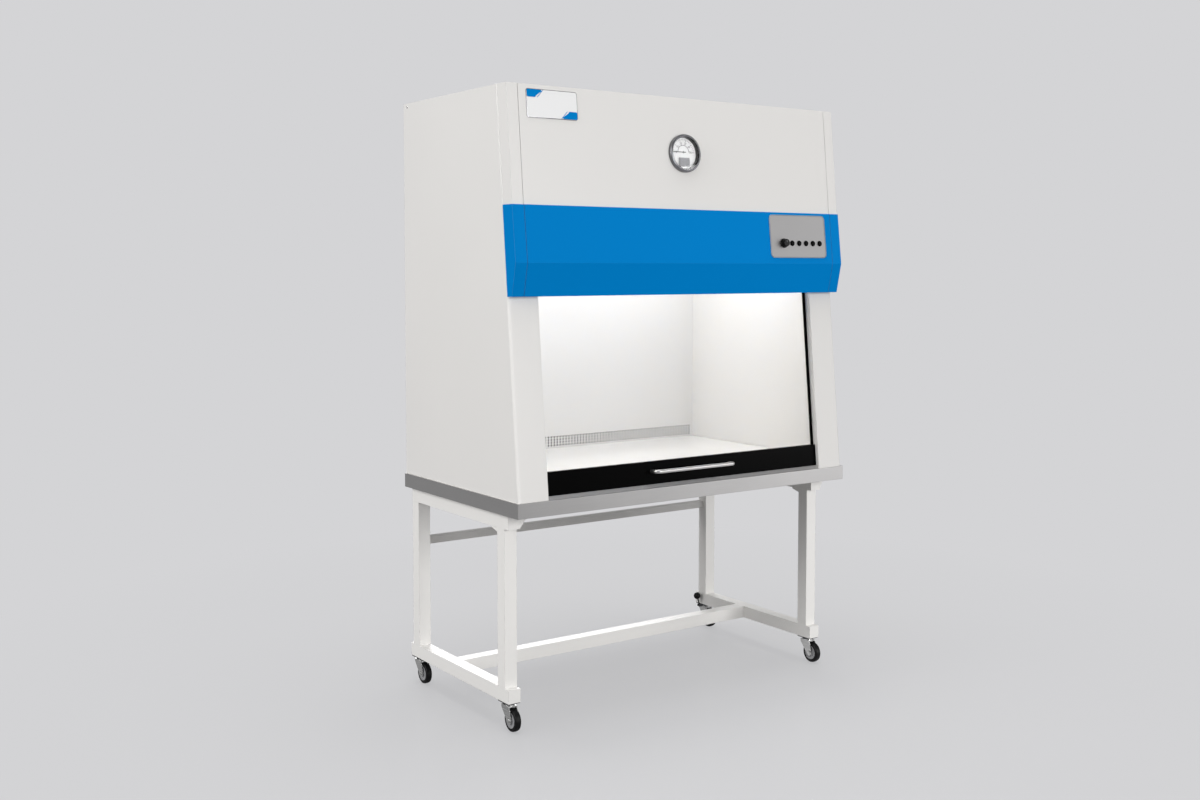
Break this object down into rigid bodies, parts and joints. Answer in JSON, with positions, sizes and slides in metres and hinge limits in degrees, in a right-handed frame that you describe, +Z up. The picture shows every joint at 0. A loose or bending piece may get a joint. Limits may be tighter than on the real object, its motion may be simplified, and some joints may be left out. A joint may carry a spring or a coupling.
{
  "type": "laminar flow cabinet",
  "caption": "Vertical laminar flow clean-air cabinet with a sliding glass sash, steel work tray and pressure gauge, on a wheeled square-tube stand.",
  "frame": {"origin": "on the floor under the middle of the cabinet's overall box", "axes": "+Z up, -Y towards the user at the front, +X to the user's right"},
  "size_m": [1.31, 0.736, 1.92],
  "materials": {
    "stand_paint": "satin off-white powder coat",
    "shell_paint": "satin off-white powder coat",
    "chamber_paint": "smooth white coat",
    "blue_paint": "smooth semi-gloss blue coat",
    "stainless": "brushed",
    "sash_glass": "clear, polished",
    "sash_black": "gloss black",
    "zinc": "bright zinc plate",
    "tyre_rubber": "smooth dark rubber",
    "hub_plastic": "moulded grey",
    "black_plastic": "moulded black",
    "bezel_metal": "satin grey",
    "dial_white": "matt white",
    "pointer_black": "matt black",
    "gauge_glass": "clear, polished",
    "panel_aluminium": "fine satin",
    "filter_pack": "folded white media in a light frame",
    "lamp_glass": "white tube",
    "galvanised": "galvanised",
    "motor_iron": "dark enamel"
  },
  "bodies": {
    "cabinet": {"stand_leg_front_left": "stand_paint", "stand_leg_front_right": "stand_paint", "stand_leg_rear_left": "stand_paint", "stand_leg_rear_right": "stand_paint", "stand_top_rail_left": "stand_paint", "stand_top_rail_right": "stand_paint", "stand_bottom_rail_left": "stand_paint", "stand_bottom_rail_right": "stand_paint", "stand_cross_rail": "stand_paint", "stand_rear_rail": "stand_paint", "side_panel_left": "shell_paint", "side_panel_right": "shell_paint", "back_panel": "shell_paint", "roof_panel": "shell_paint", "hood_cover": "shell_paint", "hood_cheek_left": "shell_paint", "hood_cheek_right": "shell_paint", "inner_walls": "chamber_paint", "back_wall": "chamber_paint", "fascia_panel": "blue_paint", "fascia_cheek_left": "blue_paint", "fascia_cheek_right": "blue_paint", "work_tray": "stainless", "work_surface": "stainless", "caster_plates": "zinc", "power_inlet": "black_plastic", "gauge_case": "bezel_metal", "gauge_dial": "dial_white", "gauge_lens": "gauge_glass", "control_plate": "panel_aluminium", "hepa_filter": "filter_pack", "lamp": "lamp_glass", "blower_housing": "galvanised", "blower_motor": "motor_iron"},
    "sash": {"sash_glass": "sash_glass", "sash_frame": "sash_black", "sash_handle": "stainless"},
    "gauge_pointer": {"gauge_pointer": "pointer_black"},
    "speed_knob": {"speed_knob": "black_plastic"},
    "blower_wheel": {"blower_wheel": "galvanised"},
    "brake_lever": {"brake_lever": "black_plastic"},
    "button_1": {"button_1": "black_plastic"},
    "button_2": {"button_2": "black_plastic"},
    "button_3": {"button_3": "black_plastic"},
    "button_4": {"button_4": "black_plastic"},
    "button_5": {"button_5": "black_plastic"},
    "fork_front_left": {"caster_fork_front_left": "zinc"},
    "wheel_front_left": {"caster_hub_front_left": "hub_plastic", "caster_tyre_front_left": "tyre_rubber"},
    "fork_front_right": {"caster_fork_front_right": "zinc"},
    "wheel_front_right": {"caster_hub_front_right": "hub_plastic", "caster_tyre_front_right": "tyre_rubber"},
    "fork_rear_left": {"caster_fork_rear_left": "zinc"},
    "wheel_rear_left": {"caster_hub_rear_left": "hub_plastic", "caster_tyre_rear_left": "tyre_rubber"},
    "fork_rear_right": {"caster_fork_rear_right": "zinc"},
    "wheel_rear_right": {"caster_hub_rear_right": "hub_plastic", "caster_tyre_rear_right": "tyre_rubber"}
  },
  "joints": [
    {"name": "sash_slide", "type": "slide", "parent": "cabinet", "child": "sash", "axis": [0, 0.0933, 0.9956], "range_m": [0, 0.48]},
    {"name": "pointer_sweep", "type": "hinge", "parent": "cabinet", "child": "gauge_pointer", "pos_m": [-0.008, -0.30002, 1.74898], "axis": [0, 0.9956, -0.0933], "range_deg": [0, 115], "stiffness_Nm_per_rad": 0.0005},
    {"name": "knob_turn", "type": "hinge", "parent": "cabinet", "child": "speed_knob", "pos_m": [0.39, -0.33134, 1.466], "axis": [0, 0.9938, -0.1107], "range_deg": [0, 270]},
    {"name": "button_1_press", "type": "slide", "parent": "cabinet", "child": "button_1", "axis": [0, 0.9938, -0.1107], "range_m": [0, 0.0025], "stiffness_N_per_m": 400},
    {"name": "button_2_press", "type": "slide", "parent": "cabinet", "child": "button_2", "axis": [0, 0.9938, -0.1107], "range_m": [0, 0.0025], "stiffness_N_per_m": 400},
    {"name": "button_3_press", "type": "slide", "parent": "cabinet", "child": "button_3", "axis": [0, 0.9938, -0.1107], "range_m": [0, 0.0025], "stiffness_N_per_m": 400},
    {"name": "button_4_press", "type": "slide", "parent": "cabinet", "child": "button_4", "axis": [0, 0.9938, -0.1107], "range_m": [0, 0.0025], "stiffness_N_per_m": 400},
    {"name": "button_5_press", "type": "slide", "parent": "cabinet", "child": "button_5", "axis": [0, 0.9938, -0.1107], "range_m": [0, 0.0025], "stiffness_N_per_m": 400},
    {"name": "blower_spin", "type": "hinge", "parent": "cabinet", "child": "blower_wheel", "pos_m": [0, 0.078, 1.798], "axis": [1, 0, 0], "continuous": true},
    {"name": "brake_press", "type": "hinge", "parent": "cabinet", "child": "brake_lever", "pos_m": [0.5845, 0.336, 0.0824], "axis": [0, -1, 0], "range_deg": [0, 30]},
    {"name": "swivel_front_left", "type": "hinge", "parent": "cabinet", "child": "fork_front_left", "pos_m": [-0.614, -0.23, 0.087], "axis": [0, 0, 1], "continuous": true},
    {"name": "roll_front_left", "type": "hinge", "parent": "fork_front_left", "child": "wheel_front_left", "pos_m": [-0.614, -0.252, 0.035], "axis": [1, 0, 0], "continuous": true},
    {"name": "swivel_front_right", "type": "hinge", "parent": "cabinet", "child": "fork_front_right", "pos_m": [0.614, -0.23, 0.087], "axis": [0, 0, 1], "continuous": true},
    {"name": "roll_front_right", "type": "hinge", "parent": "fork_front_right", "child": "wheel_front_right", "pos_m": [0.614, -0.252, 0.035], "axis": [1, 0, 0], "continuous": true},
    {"name": "swivel_rear_left", "type": "hinge", "parent": "cabinet", "child": "fork_rear_left", "pos_m": [-0.614, 0.336, 0.087], "axis": [0, 0, 1], "continuous": true},
    {"name": "roll_rear_left", "type": "hinge", "parent": "fork_rear_left", "child": "wheel_rear_left", "pos_m": [-0.614, 0.314, 0.035], "axis": [1, 0, 0], "continuous": true},
    {"name": "swivel_rear_right", "type": "hinge", "parent": "cabinet", "child": "fork_rear_right", "pos_m": [0.614, 0.336, 0.087], "axis": [0, 0, 1], "continuous": true},
    {"name": "roll_rear_right", "type": "hinge", "parent": "fork_rear_right", "child": "wheel_rear_right", "pos_m": [0.614, 0.314, 0.035], "axis": [1, 0, 0], "continuous": true}
  ]
}
